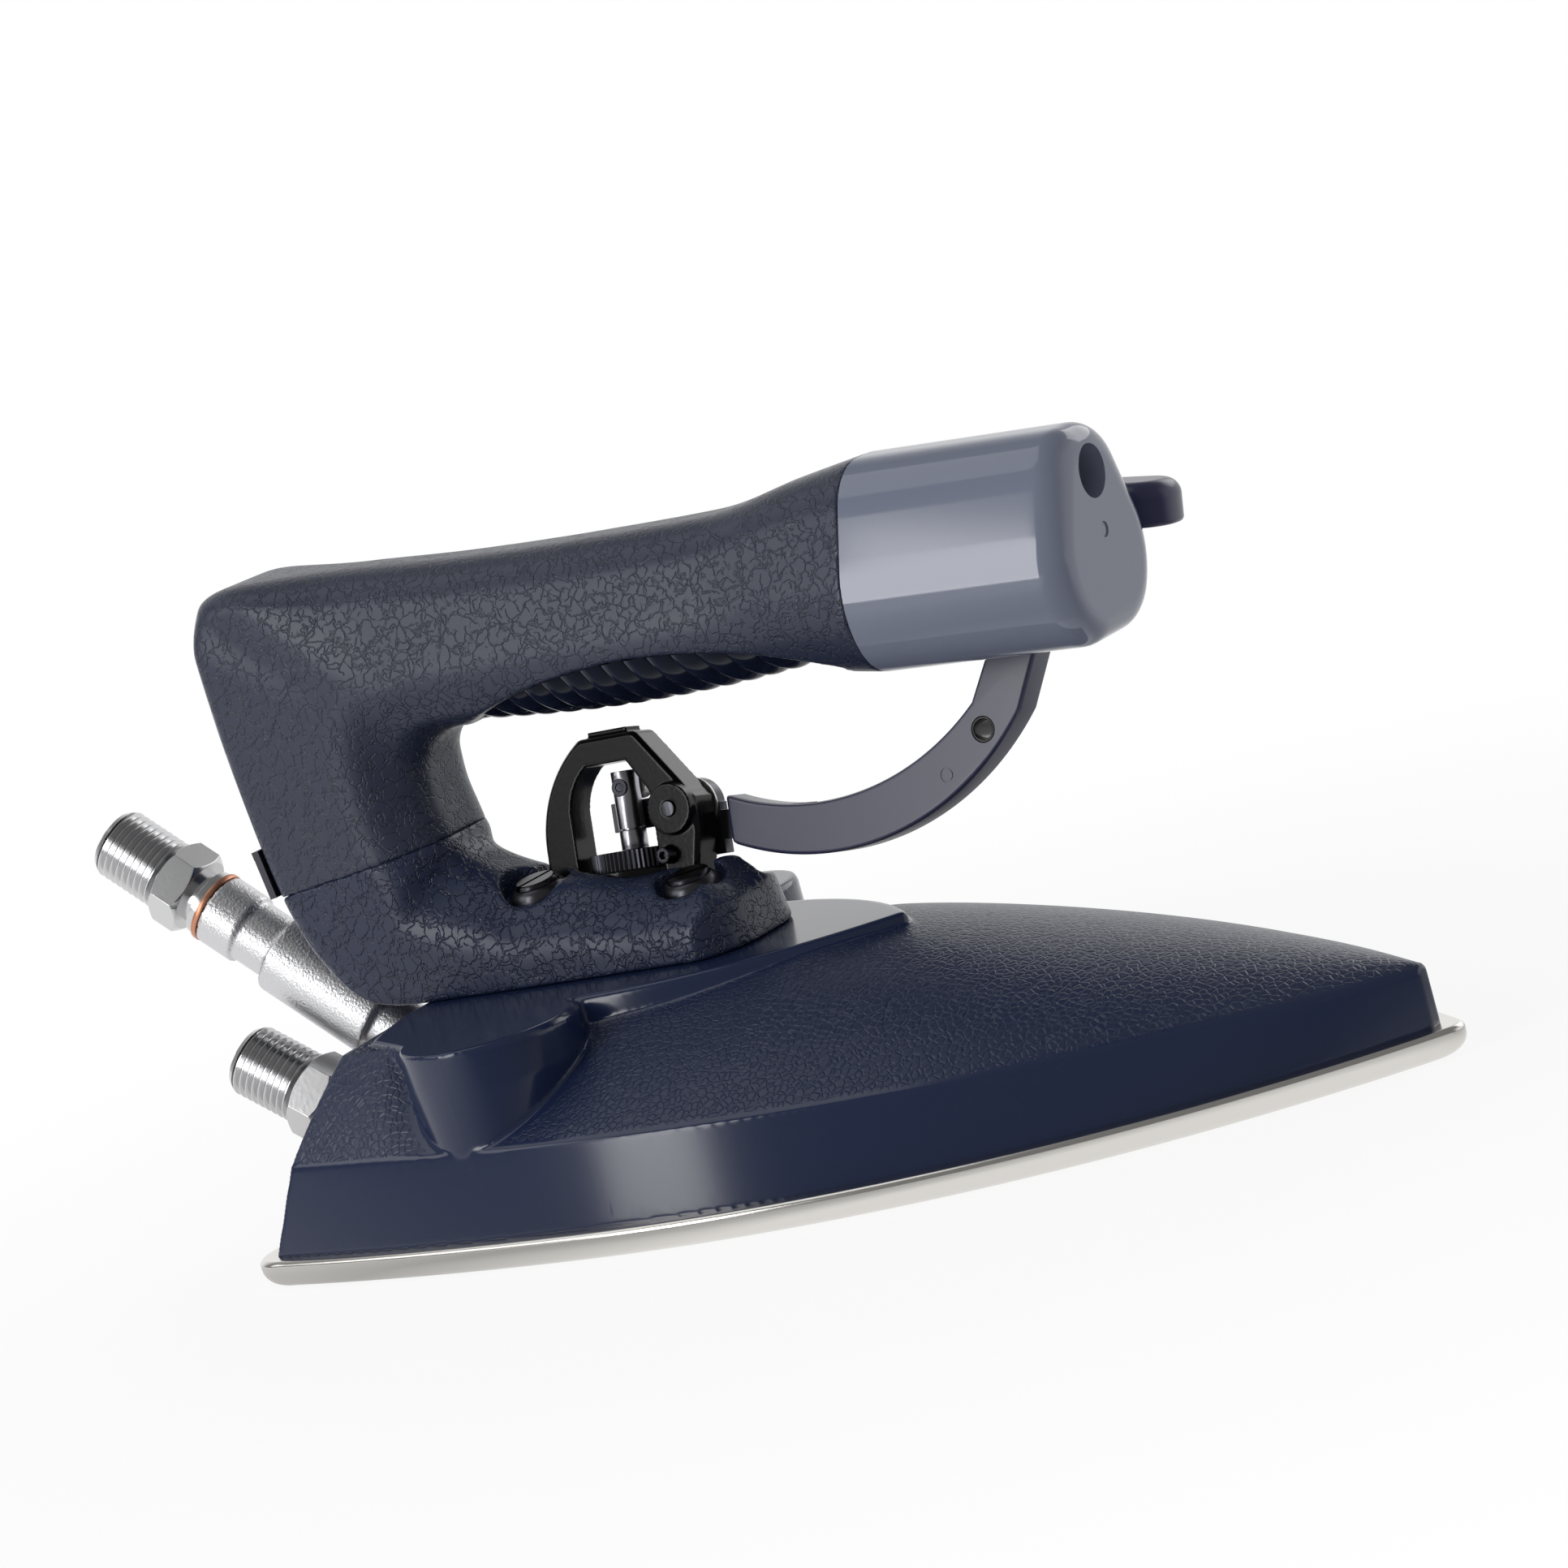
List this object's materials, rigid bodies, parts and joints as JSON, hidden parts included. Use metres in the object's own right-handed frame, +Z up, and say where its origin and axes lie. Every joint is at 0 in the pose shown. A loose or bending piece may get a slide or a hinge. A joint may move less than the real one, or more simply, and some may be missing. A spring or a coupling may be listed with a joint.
{
  "type": "industrial steam iron",
  "caption": "Heavy steam-fed pressing iron with an aluminium sole, moulded cover, tall handle, hose nipples and a thumb lever that lifts a steam valve.",
  "frame": {"origin": "on the ironing face of the sole, midway along its length and width", "axes": "+X to the pointed nose, +Y to the iron's left, +Z up, away from the ironing face"},
  "size_m": [0.2543, 0.118, 0.1135],
  "materials": {
    "polished_aluminium": "polished",
    "cast_aluminium": "as cast",
    "cast_zinc": "rough casting",
    "plated_steel": "zinc plated",
    "zinc_steel": "zinc plated",
    "bright_steel": "bright turned",
    "spring_steel": "drawn wire",
    "stem_steel": "gunmetal",
    "black_steel": "black oxide",
    "yoke_paint": "semi-gloss black",
    "cover_plastic": "moulded, pebbled flanks and glossy pad",
    "foot_plastic": "leather grain",
    "grip_plastic": "leather grain",
    "cap_plastic": "smooth semi-gloss",
    "rest_plastic": "glossy ribs",
    "lever_plastic": "satin with glossy edges",
    "seal_rubber": "matt",
    "felt": "felt",
    "seat_brass": "turned",
    "copper": "flat stamped"
  },
  "bodies": {
    "iron": {"soleplate": "polished_aluminium", "chamber_gasket": "seal_rubber", "chamber_lid": "cast_aluminium", "lid_screws": "zinc_steel", "heat_felt": "felt", "base_cover": "cover_plastic", "handle_foot": "foot_plastic", "handle_grip": "grip_plastic", "handle_cap": "cap_plastic", "cap_screw": "zinc_steel", "finger_rest": "rest_plastic", "column_bolt": "black_steel", "foot_screws": "black_steel", "foot_cup_washers": "black_steel", "back_clip": "black_steel", "clip_screw": "black_steel", "valve_casting": "cast_zinc", "valve_seat": "seat_brass", "valve_bonnet": "stem_steel", "stem_packing": "seal_rubber", "bonnet_ring": "stem_steel", "stem_spring": "spring_steel", "yoke": "yoke_paint", "yoke_screw": "bright_steel", "pivot_pin": "bright_steel", "pivot_washer": "bright_steel", "inlet_nipple": "plated_steel", "inlet_washer": "copper", "outlet_nipple": "plated_steel", "outlet_washer": "copper"},
    "lever": {"lever_plate": "black_steel", "lever_arm": "lever_plastic", "lever_insert": "bright_steel"},
    "stem": {"valve_stem": "stem_steel", "stem_sleeve": "stem_steel", "stem_set_screw": "bright_steel", "stem_roller": "bright_steel", "valve_disc": "seal_rubber"}
  },
  "joints": [
    {"name": "lever_pivot", "type": "hinge", "parent": "iron", "child": "lever", "pos_m": [-0.0328, 0.01223, 0.05785], "axis": [0, 0.9763, -0.2164], "range_deg": [0, 6], "stiffness_Nm_per_rad": 4, "springref_deg": -8.59},
    {"name": "stem_lift", "type": "slide", "parent": "iron", "child": "stem", "axis": [0, 0.2164, 0.9763], "range_m": [0, 0.00122], "deforming": ["stem_spring"]}
  ],
  "couplings": [
    {"joint": "stem_lift", "follows": "lever_pivot", "m_per_rad": 0.0116}
  ]
}
